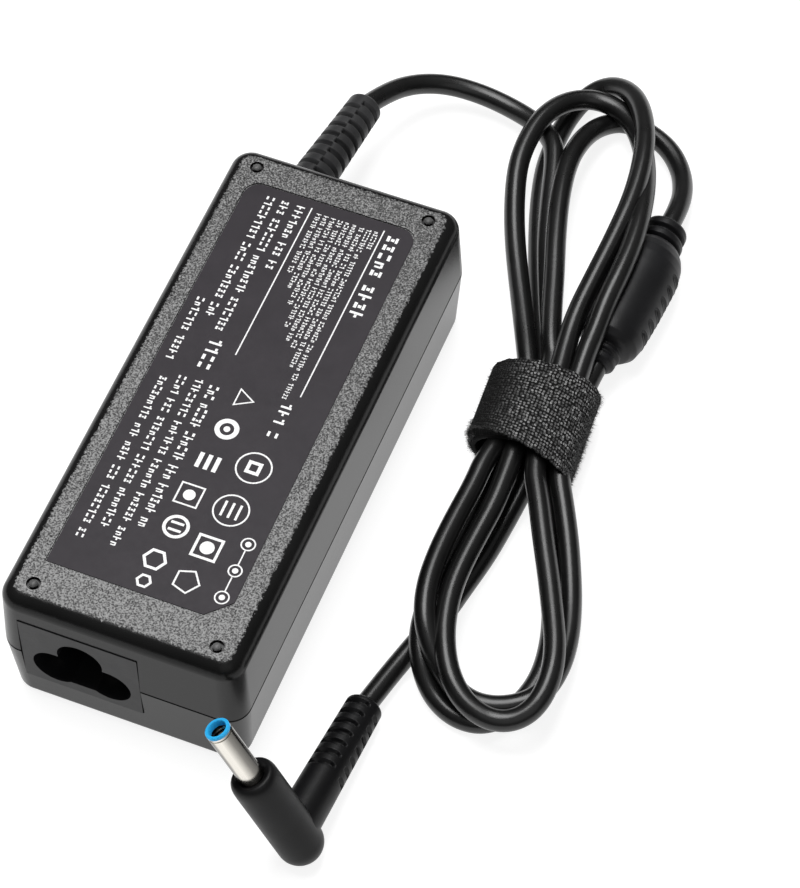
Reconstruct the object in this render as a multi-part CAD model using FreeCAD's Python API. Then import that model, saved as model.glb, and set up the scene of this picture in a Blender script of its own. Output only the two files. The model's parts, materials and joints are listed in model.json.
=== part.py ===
import FreeCAD, Part
import math
import os

V = FreeCAD.Vector

# Frame: the origin is the bottom centre of the housing, +Z is up, -Y is the mains inlet end,
# +Y is the end that the cord leaves from. All sizes are in millimetres.

# ---------------------------------------------------------------- driving dimensions

LENGTH = 107.0            # housing, along Y
WIDTH = 46.0              # housing, along X, at the parting line
HEIGHT = 30.5             # housing, along Z
PARTING = 15.0            # height of the parting line between the two shells
WALL = 2.0
CORNER = 4.0              # radius of the upright corners
TOP_DRAFT = 0.6           # how far each side leans in towards the top face
BASE_DRAFT = 0.9          # how far each side leans in towards the base
TOP_EDGE = 3.1            # rounded edge of the top face
BASE_EDGE = 1.5           # rounded edge of the base
SEAM = 0.25               # small step that shows as the parting line
LIP = 1.2                 # height of the lower shell's tongue
LIP_GAP = 0.08            # clearance between tongue and groove

LABEL_X = (-17.0, 16.3)
LABEL_Y = (-43.4, 45.1)
LABEL_CORNER = 3.0
LABEL_CHAMFER = 4.0
LABEL_THICK = 0.18
LABEL_RECESS = 0.3
LABEL_GAP = 0.2

PIP_X = 17.0              # moulded pips beyond the ends of the label
PIP_Y = 48.4
PIP_RING = (1.3, 0.8)     # outer and inner radius of the ring recess round each pip

INLET_X = -7.3            # centre of the mains inlet on the front wall
INLET_Z = (7.2, 24.7)
INLET_WIDTH = 22.3
INLET_FACE = -LENGTH / 2 + 0.2
INLET_DEPTH = 18.0
INLET_GAP = 0.15
SOCKET_DEPTH = 14.6
LOBE = 4.25               # radius of the three lobes of the cloverleaf socket
LOBE_X = 5.0
LOBE_LOW = 12.9
LOBE_HIGH = 18.1
PIN_RADIUS = 1.2
PIN_SETBACK = 4.6
PIN_TAIL = 3.0

BOARD_TOP = 7.0
BOARD_THICK = 1.6
BOARD_X = 19.4
BOARD_Y = 49.6
POST_X = 16.5
POST_Y = 47.0
POST_RADIUS = 2.2
SHIELD_TOP = 27.9
SHIELD = 0.5              # thickness of the heat spreader's sheet
FILM = 0.4                # thickness of the insulating film
WIRE = 0.8                # radius of the mains wires
OUTPUT_WIRE = 0.9         # radius of the output wires

CORD = 4.0                # cord diameter
UPPER_LOOPS = 13.0        # how high the wound loops stand on each side of the tie
LOWER_LOOPS = 11.0
RELIEF_ROOT = (-12.4, LENGTH / 2, PARTING)
RELIEF_TIP = (-9.8, 83.3, 12.0)
RELIEF_NECK = 4.2
RELIEF_FLANGE = 2.4       # thickness of the flange behind the wall
RELIEF_SET = 0.45         # keeps the flange clear of the wall's draft
RELIEF_RADII = (4.3, 3.35)
RELIEF_RIBS = 10

TIE_CENTRE = (45.2, 29.0)
TIE_TURN = 3.55           # degrees, how far the tied waist is turned from -Y towards +X
TIE_WIDTH = 16.6
TIE_HALF = (10.5, 7.05)   # half width and half height of the strap's outer turn
STRAP = 1.0               # thickness of one layer of strap
TAIL_FROM = 42.0          # degrees round the outer turn, where the free end starts
TAIL_TO = -62.0
TAIL_GAP = 0.06

BEAD_TOP = (53.3, 80.4, 6.6)
BEAD_END = (51.7, 45.4, 6.6)
BEAD_RADIUS = 6.5
GRIP_SLOTS = 6
GRIP_PITCH = 2.4

ELBOW = (38.0, -64.8, 4.3)
HEAD_AXIS = V(-0.436, 0.019, 0.900)
HEAD_LENGTH = 19.5
HEAD_RADIUS = 4.25
BARREL_LENGTH = 12.7
BARREL_RADIUS = 2.25
BARREL_STEP = 0.25        # how much thinner the barrel is inside the head
BARREL_ROOT = 5.0         # length of barrel held inside the head
BLUE_RING = 1.3           # length of the insulating ring at the barrel's mouth
BARREL_BORE = 1.75
INSULATOR_BORE = 1.45
CONTACT_BORE = 1.2
CENTRE_PIN = 0.35         # radius
BOOT_TIP = (38.2, -35.4, 3.1)
BOOT_RISE = 2.8           # how far up the head's axis the boot joins it
BOOT_RIBS = 7
BOOT_PLAIN = 0.34         # share of the boot, next to the head, that has no ribs

# The cord's route where it is not wound, as corner points that its arcs round off.
LEAD_ROUTE = [
    RELIEF_TIP, (-8.0, 89.2, 10.2), (-4.6, 95.1, 7.8), (0.8, 99.0, 5.8), (7.6, 100.2, 4.5),
    (14.9, 99.3, 4.0), (21.2, 96.8, 4.6), (25.7, 92.6, 6.2),
]
BEAD_ROUTE = [
    (40.4, 105.2, 2.0), (46.2, 102.6, 2.0), (50.4, 97.8, 2.2), (52.8, 91.6, 3.8), (53.5, 85.4, 5.7),
    (53.25, 79.2, 6.6), (51.75, 46.4, 6.6), (51.3, 41.8, 5.5), (51.0, 38.4, 4.6),
]
PLUG_ROUTE = [
    (44.0, -12.3, 2.0), (42.1, -17.9, 2.0), (40.6, -23.5, 2.05), (39.3, -29.3, 2.4), BOOT_TIP,
]

parts = {}


# ---------------------------------------------------------------- helpers

def span(x, y, z):
    """A box from its low and high value along each axis."""
    return Part.makeBox(x[1] - x[0], y[1] - y[0], z[1] - z[0], V(x[0], y[0], z[0]))


def rod(start, axis, radius, length):
    return Part.makeCylinder(radius, length, V(*start), V(*axis))


def tube(start, axis, outer, inner, length):
    return rod(start, axis, outer, length).cut(rod(start, axis, inner, length))


def rounded_outline(half_x, half_y, radius, z):
    """A rounded rectangle centred on the Z axis."""
    edges = []
    corners = [(1, 1, 0), (-1, 1, 90), (-1, -1, 180), (1, -1, 270)]
    for sx, sy, turn in corners:
        centre = V(sx * (half_x - radius), sy * (half_y - radius), z)
        circle = Part.Circle(centre, V(0, 0, 1), radius)
        arc = Part.ArcOfCircle(circle, math.radians(turn), math.radians(turn + 90))
        edges.append(arc.toShape())
    joined = []
    for i, edge in enumerate(edges):
        following = edges[(i + 1) % len(edges)]
        joined.append(edge)
        joined.append(Part.makeLine(edge.Vertexes[-1].Point, following.Vertexes[0].Point))
    return Part.Wire(joined)


def lofted(levels, radius):
    """A solid through rounded rectangles, each given as (height, inset from the full outline)."""
    wires = []
    for z, inset in levels:
        wires.append(rounded_outline(WIDTH / 2 - inset, LENGTH / 2 - inset, radius, z))
    return Part.makeLoft(wires, True, True)


def edges_at(shape, z):
    found = []
    for edge in shape.Edges:
        box = edge.BoundBox
        if abs(box.ZMin - z) < 1e-4 and abs(box.ZMax - z) < 1e-4:
            found.append(edge)
    return found


def fused(shapes):
    whole = shapes[0]
    for shape in shapes[1:]:
        whole = whole.fuse(shape)
    return whole.removeSplitter()


def aimed(shape, origin, axis):
    """Turn a shape modelled along +Z from the world origin to start at origin and run along axis."""
    placed = shape.copy()
    placed.Placement = FreeCAD.Placement(V(*origin), FreeCAD.Rotation(V(0, 0, 1), axis))
    return placed


def turned(profile):
    """A solid of revolution about +Z from (radius, height) points, each joined to the next by a line."""
    points = [V(0, 0, profile[0][1])] + [V(r, 0, z) for r, z in profile] + [V(0, 0, profile[-1][1])]
    points.append(points[0])
    return Part.Face(Part.makePolygon(points)).revolve(V(0, 0, 0), V(0, 0, 1), 360)


def cord_path(route):
    """Straight runs joined by tangent arcs, each arc as large as its two runs allow."""
    points = [V(*p) for p in route]
    edges = []
    radii = []
    here = points[0]
    for before, corner, after in zip(points, points[1:], points[2:]):
        back = before - corner
        ahead = after - corner
        reach = 0.45 * min(back.Length, ahead.Length)
        back.normalize()
        ahead.normalize()
        half_turn = (math.pi - back.getAngle(ahead)) / 2
        radius = reach / math.tan(half_turn)
        start = corner + back * reach
        end = corner + ahead * reach
        inward = back + ahead
        inward.normalize()
        middle = corner + inward * (radius / math.cos(half_turn) - radius)
        edges.append(Part.LineSegment(here, start).toShape())
        edges.append(Part.Arc(start, middle, end).toShape())
        radii.append(radius)
        here = end
    edges.append(Part.LineSegment(here, points[-1]).toShape())
    return Part.Wire(edges), radii


def cord_tube(name, route):
    path, radii = cord_path(route)
    along = V(*route[1]) - V(*route[0])
    section = Part.Wire([Part.makeCircle(CORD / 2, V(*route[0]), along)])
    solid = path.makePipeShell([section], True, False)
    ideal = math.pi * (CORD / 2) ** 2 * path.Length
    print(name, "radii", [round(r, 1) for r in radii], "volume ratio", round(solid.Volume / ideal, 4))
    return solid


# ---------------------------------------------------------------- housing

def inlet_cutter(gap):
    x = (INLET_X - INLET_WIDTH / 2 - gap, INLET_X + INLET_WIDTH / 2 + gap)
    return span(x, (-LENGTH, -LENGTH / 2 + WALL + 2), (INLET_Z[0] - gap, INLET_Z[1] + gap))


def relief_cutter():
    return rod((RELIEF_ROOT[0], LENGTH / 2 - 2 * WALL, PARTING), (0, 1, 0), RELIEF_NECK, 3 * WALL)


def label_solid(grow, z, thick):
    """The label's outline: two rounded corners, one cut corner and one square corner."""
    x0, x1 = LABEL_X[0] - grow, LABEL_X[1] + grow
    y0, y1 = LABEL_Y[0] - grow, LABEL_Y[1] + grow
    plate = span((x0, x1), (y0, y1), (z, z + thick))
    back = [e for e in plate.Edges if abs(e.BoundBox.YMin - y1) < 1e-4 and e.BoundBox.ZLength > thick / 2]
    plate = plate.makeFillet(LABEL_CORNER, back)
    front = [e for e in plate.Edges if abs(e.BoundBox.YMax - y0) < 1e-4 and e.BoundBox.ZLength > thick / 2]
    right = [e for e in front if abs(e.BoundBox.XMax - x1) < 1e-4 and e.BoundBox.XLength < 1e-4]
    return plate.makeChamfer(LABEL_CHAMFER, right)


def housing():
    upper = lofted([(PARTING, SEAM), (PARTING + SEAM, 0), (HEIGHT, TOP_DRAFT)], CORNER)
    upper = upper.makeFillet(TOP_EDGE, edges_at(upper, HEIGHT))
    hollow = lofted([(PARTING, WALL), (HEIGHT - WALL, WALL + TOP_DRAFT)], CORNER - WALL / 2)
    groove = lofted([(PARTING, WALL / 2), (PARTING + LIP + LIP_GAP, WALL / 2)], CORNER - WALL / 2)
    upper = upper.cut(hollow).cut(groove)

    lower = lofted([(0, BASE_DRAFT), (PARTING - SEAM, 0), (PARTING, SEAM)], CORNER)
    lower = lower.makeFillet(BASE_EDGE, edges_at(lower, 0))
    cavity = lofted([(WALL, WALL + BASE_DRAFT), (PARTING, WALL)], CORNER - WALL / 2)
    inset = WALL / 2 + LIP_GAP
    tongue = lofted([(PARTING, inset), (PARTING + LIP, inset)], CORNER - WALL / 2)
    tongue = tongue.cut(lofted([(PARTING, WALL), (PARTING + LIP, WALL)], CORNER - WALL / 2))
    lower = lower.cut(cavity).fuse(tongue)
    post_height = BOARD_TOP - BOARD_THICK - WALL / 2
    for sx in (-1, 1):
        for sy in (-1, 1):
            post = rod((sx * POST_X, sy * POST_Y, WALL / 2), (0, 0, 1), POST_RADIUS, post_height)
            lower = lower.fuse(post)

    for cutter in (inlet_cutter(INLET_GAP), relief_cutter()):
        upper = upper.cut(cutter)
        lower = lower.cut(cutter)

    upper = upper.cut(label_solid(LABEL_GAP, HEIGHT - LABEL_RECESS, 2 * LABEL_RECESS))
    outer, inner = PIP_RING
    for sx in (-1, 1):
        for sy in (-1, 1):
            foot = (sx * PIP_X, sy * PIP_Y, HEIGHT - 2 * LABEL_RECESS)
            upper = upper.cut(tube(foot, (0, 0, 1), outer, inner, 1.0))
    parts["upper_shell"] = upper.removeSplitter()
    parts["lower_shell"] = lower.removeSplitter()
    parts["rating_label"] = label_solid(0, HEIGHT - LABEL_RECESS, LABEL_THICK)


# ---------------------------------------------------------------- mains inlet

def inlet():
    plate = span(
        (INLET_X - INLET_WIDTH / 2, INLET_X + INLET_WIDTH / 2), (INLET_FACE, INLET_FACE + WALL), INLET_Z)
    body = span(
        (INLET_X - INLET_WIDTH / 2 + 1, INLET_X + INLET_WIDTH / 2 - 1),
        (INLET_FACE, INLET_FACE + INLET_DEPTH), (INLET_Z[0] + 0.7, INLET_Z[1] - 0.7))
    lobes = [(-LOBE_X, LOBE_LOW), (LOBE_X, LOBE_LOW), (0, LOBE_HIGH)]
    socket = [
        span((INLET_X - LOBE_X, INLET_X + LOBE_X), (INLET_FACE, INLET_FACE + SOCKET_DEPTH),
             (LOBE_LOW - LOBE + 0.9, LOBE_LOW + LOBE)),
    ]
    for x, z in lobes:
        socket.append(rod((INLET_X + x, INLET_FACE, z), (0, 1, 0), LOBE, SOCKET_DEPTH))
    shell = plate.fuse(body).cut(fused(socket))
    for name, (x, z) in zip(("line_pin", "neutral_pin", "earth_pin"), lobes):
        start = (INLET_X + x, INLET_FACE + PIN_SETBACK + PIN_RADIUS, z)
        length = INLET_DEPTH + PIN_TAIL - PIN_SETBACK - PIN_RADIUS
        pin = rod(start, (0, 1, 0), PIN_RADIUS, length)
        tip = Part.makeSphere(PIN_RADIUS, V(*start))
        parts[name] = pin.fuse(tip).removeSplitter()
        shell = shell.cut(pin)
    parts["ac_inlet_body"] = shell.removeSplitter()


# ---------------------------------------------------------------- circuit board and its parts

def standing_disc(x, y, radius, thick):
    """A disc-shaped part standing on two short leads."""
    disc = rod((x, y - thick / 2, BOARD_TOP + 1.5 + radius), (0, 1, 0), radius, thick)
    leads = [rod((x + side * radius / 2, y, BOARD_TOP), (0, 0, 1), 0.35, 3.5) for side in (-1, 1)]
    return fused([disc] + leads)


def can(x, y, radius, height):
    """An upright electrolytic capacitor with the crimp groove above its seal."""
    body = turned([(radius, 0), (radius, 1.2), (radius - 0.4, 1.6), (radius, 2.0), (radius, height)])
    return aimed(body, (x, y, BOARD_TOP), V(0, 0, 1))


def board_and_shields():
    board_z = (BOARD_TOP - BOARD_THICK, BOARD_TOP)
    parts["circuit_board"] = span((-BOARD_X, BOARD_X), (-BOARD_Y, BOARD_Y), board_z)
    film_x = BOARD_X - 0.6
    film_y = BOARD_Y - 6.0
    parts["insulating_sheet"] = span((-film_x, film_x), (-film_y, film_y), (3.2, 3.2 + FILM))
    y = (-33.0, 46.0)
    half = BOARD_X + 0.8
    top = span((-half, half), y, (SHIELD_TOP - SHIELD, SHIELD_TOP))
    sides = [span((x, x + SHIELD), y, (9.0, SHIELD_TOP)) for x in (-half, half - SHIELD)]
    parts["heat_spreader"] = fused([top] + sides)


def mains_side():
    parts["fuse"] = rod((7.4, -49.0, BOARD_TOP + 2.9), (0, 1, 0), 2.6, 15.0)
    parts["thermistor"] = standing_disc(14.8, -46.0, 4.1, 4.0)
    parts["varistor"] = standing_disc(14.8, -38.5, 4.5, 3.8)
    parts["x_capacitor"] = span((-18.5, -0.5), (-28.6, -20.5), (BOARD_TOP, BOARD_TOP + 14))
    middle = V(10.5, -25.0, BOARD_TOP + 10.2)
    core = Part.makeTorus(5.6, 2.2, middle, V(0, 1, 0))
    windings = []
    for turn in (-60, 120):
        coil = Part.makeTorus(5.6, 3.3, middle, V(0, 1, 0), -180, 180, 120)
        coil.rotate(middle, V(0, 1, 0), turn)
        windings.append(coil.cut(core))
    parts["choke_core"] = core
    parts["choke_windings"] = Part.makeCompound(windings)
    parts["choke_base"] = span((3.0, 18.0), (-29.5, -20.5), (BOARD_TOP, BOARD_TOP + 1.2))
    discs = [standing_disc(x, -16.5, 3.4, 3.0) for x in (-14.5, -5.5)]
    parts["y_capacitors"] = Part.makeCompound(discs)
    parts["bridge_rectifier"] = span((-18.0, 0.0), (-12.5, -8.9), (BOARD_TOP, BOARD_TOP + 15))
    bulk = turned([(9.0, 0), (9.0, 2.0), (8.5, 2.6), (9.0, 3.2), (9.0, 31.0)])
    parts["bulk_capacitor"] = aimed(bulk, (10.0, -15.5, BOARD_TOP + 9.2), V(0, 1, 0))
    foot = span((-19.3, -14.5), (-6.0, 17.5), (BOARD_TOP, BOARD_TOP + 1.4))
    fin = span((-19.3, -17.9), (-6.0, 17.5), (BOARD_TOP, BOARD_TOP + 19))
    parts["primary_heatsink"] = fin.fuse(foot).removeSplitter()
    tab = span((-17.9, -16.6), (0.5, 10.5), (BOARD_TOP + 2.5, BOARD_TOP + 18))
    case = span((-17.9, -13.4), (0.5, 10.5), (BOARD_TOP + 2.5, BOARD_TOP + 11.5))
    parts["switching_transistor"] = tab.fuse(case).removeSplitter()
    parts["controller_chip"] = span((-9.5, -3.5), (-4.0, 1.0), (BOARD_TOP, BOARD_TOP + 1.7))
    resistors = [rod((-9.5, y, BOARD_TOP + 2.2), (1, 0, 0), 1.6, 8.0) for y in (4.0, 8.0)]
    parts["snubber_resistors"] = Part.makeCompound(resistors)
    parts["auxiliary_capacitor"] = can(-5.0, 14.0, 3.0, 11.0)


def transformer():
    x, y, low, high = -1.0, 30.0, 10.4, 23.4
    window = tube((x, y, low), (0, 0, 1), 9.5, 4.5, high - low)
    parts["transformer_core"] = span((x - 12, x + 12), (y - 7, y + 7), (BOARD_TOP + 0.6, 26.2)).cut(window)
    sleeve = tube((x, y, low), (0, 0, 1), 5.3, 4.5, high - low)
    flanges = [tube((x, y, z), (0, 0, 1), 9.3, 4.5, 0.8) for z in (low, high - 0.8)]
    parts["transformer_bobbin"] = fused([sleeve] + flanges)
    parts["transformer_windings"] = tube((x, y, low + 0.8), (0, 0, 1), 8.9, 5.3, high - low - 1.6)
    parts["transformer_tape"] = tube((x, y, low + 0.8), (0, 0, 1), 9.2, 8.9, high - low - 1.6)


def output_side():
    parts["optocoupler"] = span((-18.5, -14.0), (20.5, 25.2), (BOARD_TOP, BOARD_TOP + 3.6))
    parts["output_inductor"] = rod((-16.3, 28.0, BOARD_TOP + 2.9), (0, 1, 0), 2.7, 14.0)
    fin = span((17.8, 19.2), (19.0, 45.0), (BOARD_TOP, BOARD_TOP + 18))
    foot = span((14.5, 19.2), (19.0, 45.0), (BOARD_TOP, BOARD_TOP + 1.4))
    parts["secondary_heatsink"] = fin.fuse(foot).removeSplitter()
    tab = span((16.5, 17.8), (24.0, 34.0), (BOARD_TOP + 2.5, BOARD_TOP + 17))
    case = span((13.3, 17.8), (24.0, 34.0), (BOARD_TOP + 2.5, BOARD_TOP + 11.5))
    parts["output_rectifier"] = tab.fuse(case).removeSplitter()
    parts["output_capacitors"] = Part.makeCompound([can(x, 43.6, 4.0, 16.0) for x in (1.5, 10.5)])


def inner_wires():
    back = INLET_FACE + INLET_DEPTH + PIN_TAIL
    drops = {"line_wire": -LOBE_X, "neutral_wire": LOBE_X}
    for name, x in drops.items():
        along = rod((INLET_X + x, back, LOBE_LOW), (0, 1, 0), WIRE, 1.2)
        bend = Part.makeSphere(WIRE, V(INLET_X + x, back + 1.2, LOBE_LOW))
        down = rod((INLET_X + x, back + 1.2, BOARD_TOP), (0, 0, 1), WIRE, LOBE_LOW - BOARD_TOP)
        parts[name] = fused([along, bend, down])
    along = rod((INLET_X, back, LOBE_HIGH), (0, 1, 0), WIRE, 2.6)
    bend = Part.makeSphere(WIRE, V(INLET_X, back + 2.6, LOBE_HIGH))
    up = rod((INLET_X, back + 2.6, LOBE_HIGH), (0, 0, 1), WIRE, SHIELD_TOP - SHIELD - LOBE_HIGH)
    parts["earth_wire"] = fused([along, bend, up])
    wires = []
    y = LENGTH / 2 - WALL - RELIEF_SET - RELIEF_FLANGE - 2.5
    for side in (-1, 1):
        x = RELIEF_ROOT[0] + 1.4 * side
        out = rod((x, y, PARTING), (0, 1, 0), OUTPUT_WIRE, 2.5)
        bend = Part.makeSphere(OUTPUT_WIRE, V(x, y, PARTING))
        down = rod((x, y, BOARD_TOP), (0, 0, 1), OUTPUT_WIRE, PARTING - BOARD_TOP)
        wires.append(fused([out, bend, down]))
    parts["output_wires"] = Part.makeCompound(wires)


# ---------------------------------------------------------------- cord, its strain relief, bead and tie

def ribbed(radii, bore, length, ribs, share):
    """A tapered boot along +Z: ribs of the outer radii on a thinner core."""
    pitch = length / ribs
    shapes = [Part.makeCone(bore[0], bore[1], length)]
    for i in range(ribs):
        low = i * pitch
        high = low + share * pitch
        if i == ribs - 1:
            low, high = length - share * pitch, length
        at = [radii[0] + (radii[1] - radii[0]) * z / length for z in (low, high)]
        shapes.append(Part.makeCone(at[0], at[1], high - low, V(0, 0, low)))
    return fused(shapes)


def strain_relief():
    axis = V(*RELIEF_TIP) - V(*RELIEF_ROOT)
    x = RELIEF_ROOT[0]
    inside = LENGTH / 2 - WALL - RELIEF_SET
    flange = rod((x, inside - RELIEF_FLANGE, PARTING), (0, 1, 0), 6.0, RELIEF_FLANGE)
    neck = rod((x, inside, PARTING), (0, 1, 0), RELIEF_NECK, WALL + RELIEF_SET + 0.5)
    cores = (RELIEF_RADII[0] - 1.0, RELIEF_RADII[1] - 0.9)
    boot = aimed(ribbed(RELIEF_RADII, cores, axis.Length, RELIEF_RIBS, 0.62), RELIEF_ROOT, axis)
    boot = boot.cut(span((x - 8, x + 8), (40, LENGTH / 2), (5, 25)))
    parts["cord_strain_relief"] = fused([flange, neck, boot])


def slab(corners, bulges, height):
    """A slab whose sides join the corners: an arc through the bulge point, or a line where it is None."""
    edges = []
    for start, bulge, end in zip(corners, bulges, corners[1:] + corners[:1]):
        if bulge is None:
            edges.append(Part.makeLine(V(*start, 0), V(*end, 0)))
        else:
            edges.append(Part.Arc(V(*start, 0), V(*bulge, 0), V(*end, 0)).toShape())
    return Part.Face(Part.Wire(edges)).extrude(V(0, 0, height))


def oval(half_x, half_z, length):
    """An oval cylinder along +Y about the tie's axis, before the tie's own turn."""
    x, y = TIE_CENTRE
    ellipse = Part.Ellipse(V(x, y - length / 2, TIE_HALF[1]), half_x, half_z)
    ellipse.Axis = V(0, 1, 0)
    ellipse.XAxis = V(1, 0, 0)
    return Part.Face(Part.Wire([ellipse.toShape()])).extrude(V(0, length, 0))


def swung(shape):
    shape.rotate(V(*TIE_CENTRE, 0), V(0, 0, 1), TIE_TURN)
    return shape


def tail_wedge(shrink):
    """The sector of the outer turn that the free end of the strap covers."""
    x, y = TIE_CENTRE
    reach = 2 * TIE_HALF[0]
    points = [V(x, y - TIE_WIDTH, TIE_HALF[1])]
    for step in range(5):
        angle = math.radians(TAIL_FROM + (TAIL_TO - TAIL_FROM) * step / 4)
        points.append(V(x + reach * math.cos(angle), y - TIE_WIDTH, TIE_HALF[1] + reach * math.sin(angle)))
    points.append(points[0])
    wedge = Part.Face(Part.makePolygon(points)).extrude(V(0, 2 * TIE_WIDTH, 0))
    if shrink:
        wedge.translate(V(TAIL_GAP, 0, -TAIL_GAP))
    return wedge


def tie():
    full = oval(TIE_HALF[0], TIE_HALF[1], TIE_WIDTH)
    inner_turn = oval(TIE_HALF[0] - STRAP, TIE_HALF[1] - STRAP, TIE_WIDTH)
    hole = oval(TIE_HALF[0] - 2 * STRAP, TIE_HALF[1] - 2 * STRAP, TIE_WIDTH)
    outer_layer = full.cut(inner_turn)
    wrap = inner_turn.cut(hole).fuse(outer_layer.cut(tail_wedge(False)))
    parts["tie_wrap"] = swung(wrap.removeSplitter())
    lifted = full.cut(oval(TIE_HALF[0] - STRAP + TAIL_GAP, TIE_HALF[1] - STRAP + TAIL_GAP, TIE_WIDTH))
    parts["tie_tail"] = swung(lifted.common(tail_wedge(True)))


def hank():
    bead_axis = V(*BEAD_END) - V(*BEAD_TOP)
    clear = aimed(Part.makeCylinder(BEAD_RADIUS + 0.3, bead_axis.Length + 2), BEAD_TOP, bead_axis)
    upper = slab(
        [(35.8, 38.6), (21.0, 78.0), (22.5, 102.0), (41.5, 105.0), (50.6, 74.0), (52.4, 38.6)],
        [None, (19.2, 91.0), (31.5, 112.8), (48.6, 91.0), None, None], UPPER_LOOPS)
    lower = slab(
        [(55.8, 19.0), (67.3, -5.2), (67.4, -23.8), (51.2, -33.0), (40.3, -20.3), (36.6, 19.0)],
        [(62.8, 6.4), (69.3, -15.0), (61.0, -32.4), (44.9, -28.8), (37.2, -2.0), None], LOWER_LOOPS)
    waist = swung(oval(TIE_HALF[0] - 2 * STRAP, TIE_HALF[1] - 2 * STRAP, 1.6 * TIE_WIDTH))
    upper = upper.cut(clear)
    parts["cord_loops_upper"] = upper
    parts["cord_loops_lower"] = lower
    parts["cord_waist"] = waist.cut(upper).cut(lower).cut(clear)


def ferrite_bead():
    axis = V(*BEAD_END) - V(*BEAD_TOP)
    length = axis.Length
    body = BEAD_RADIUS
    profile = [
        (3.7, 0), (4.2, 0.6), (4.2, 2.0), (3.2, 2.2), (3.2, 2.9), (4.4, 3.1), (4.5, 4.7), (3.5, 4.9),
        (3.5, 5.5), (4.8, 5.7), (5.7, 7.4), (body - 0.15, 9.6), (body, 12.0), (body, 20.0), (body - 0.4, 26.0),
        (5.2, 29.6), (4.2, 30.8), (3.0, 31.2), (3.3, 32.0), (2.9, 32.8), (3.1, 33.8), (2.8, length),
    ]
    cover = turned(profile)
    core = tube((0, 0, 8.4), (0, 0, 1), 4.8, 2.2, 19.0)
    bore = Part.makeCylinder(CORD / 2, length)
    cover = cover.cut(core).cut(bore)
    for i in range(GRIP_SLOTS):
        low = 10.5 + GRIP_PITCH * i
        cover = cover.cut(span((body - 1.0, body + 1.0), (-2.0, 2.0), (low, low + GRIP_PITCH / 2)))
    parts["ferrite_cover"] = aimed(cover, BEAD_TOP, axis)
    parts["ferrite_core"] = aimed(core, BEAD_TOP, axis)


def cords():
    hanks = [parts[name] for name in ("cord_loops_upper", "cord_loops_lower", "cord_waist")]
    routes = {"cord_lead": LEAD_ROUTE, "cord_bead_run": BEAD_ROUTE, "cord_plug_lead": PLUG_ROUTE}
    for name, route in routes.items():
        solid = cord_tube(name, route)
        for other in hanks:
            solid = solid.cut(other)
        parts[name] = max(solid.Solids, key=lambda piece: piece.Volume)


# ---------------------------------------------------------------- plug

def plug():
    head = turned([(HEAD_RADIUS, 0), (HEAD_RADIUS, 12.0), (4.1, HEAD_LENGTH - 1.0), (3.2, HEAD_LENGTH)])
    head = aimed(head, ELBOW, HEAD_AXIS)
    knuckle = Part.makeSphere(HEAD_RADIUS, V(*ELBOW))
    root = V(*ELBOW) + HEAD_AXIS * BOOT_RISE
    run = V(*BOOT_TIP) - root
    smooth = BOOT_PLAIN * run.Length
    base = aimed(Part.makeCone(4.0, 3.85, smooth), root, run)
    start = root + run * BOOT_PLAIN
    boot = aimed(ribbed((3.85, 2.95), (3.0, 2.5), run.Length - smooth, BOOT_RIBS, 0.6), start, run)
    body = fused([head, knuckle, base, boot])
    low = HEAD_LENGTH - BARREL_ROOT
    tip = HEAD_LENGTH + BARREL_LENGTH
    mouth = tip - BLUE_RING
    foot_top = low + 1.0
    rooted = BARREL_RADIUS - BARREL_STEP
    inside = aimed(Part.makeCylinder(rooted, BARREL_ROOT, V(0, 0, low)), ELBOW, HEAD_AXIS)
    parts["plug_body"] = body.cut(inside)
    up = (0, 0, 1)
    stub = tube((0, 0, low), up, rooted, BARREL_BORE, BARREL_ROOT)
    barrel = tube((0, 0, HEAD_LENGTH), up, BARREL_RADIUS, BARREL_BORE, mouth - HEAD_LENGTH).fuse(stub)
    collar = tube((0, 0, mouth), up, BARREL_RADIUS, INSULATOR_BORE, BLUE_RING)
    sleeve = tube((0, 0, foot_top), up, BARREL_BORE, INSULATOR_BORE, mouth - foot_top)
    contact = tube((0, 0, foot_top), up, INSULATOR_BORE, CONTACT_BORE, mouth - BLUE_RING - foot_top)
    post = Part.makeCylinder(CENTRE_PIN, tip - 2.0 - low, V(0, 0, low))
    foot = Part.makeCylinder(BARREL_BORE, foot_top - low, V(0, 0, low)).cut(post)
    parts["plug_barrel"] = aimed(barrel, ELBOW, HEAD_AXIS)
    parts["plug_insulator"] = aimed(fused([collar, sleeve, foot]), ELBOW, HEAD_AXIS)
    parts["plug_inner_contact"] = aimed(contact, ELBOW, HEAD_AXIS)
    parts["plug_centre_pin"] = aimed(post, ELBOW, HEAD_AXIS)


def main():
    for make in (housing, inlet, board_and_shields, mains_side, transformer, output_side, inner_wires,
                 strain_relief, tie, hank, ferrite_bead, cords, plug):
        make()
    os.makedirs("parts", exist_ok=True)
    for name, shape in parts.items():
        box = shape.BoundBox
        if not shape.isValid() or shape.Volume < 0.1:
            print("CHECK", name, shape.isValid(), shape.Volume)
        heights = f"{box.ZMin:.2f}..{box.ZMax:.2f}"
        print(f"{name:22s} solids {len(shape.Solids)} z {heights} volume {shape.Volume:.0f}")
        shape.exportStep(f"parts/{name}.step")
    print(len(parts), "nodes")


main()
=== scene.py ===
"""The looks of a laptop power adapter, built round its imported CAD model.

Sizes and places in this script are millimetres in the model's own frame, apart from the lights' metres,
and new_mesh() turns them into metres: +Z is up, +Y points to the end that the output cord leaves from,
+X towards the wound cord.
"""

import json
import math
import random

import bmesh
import bpy
import numpy as np
from mathutils import Matrix, Vector


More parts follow.
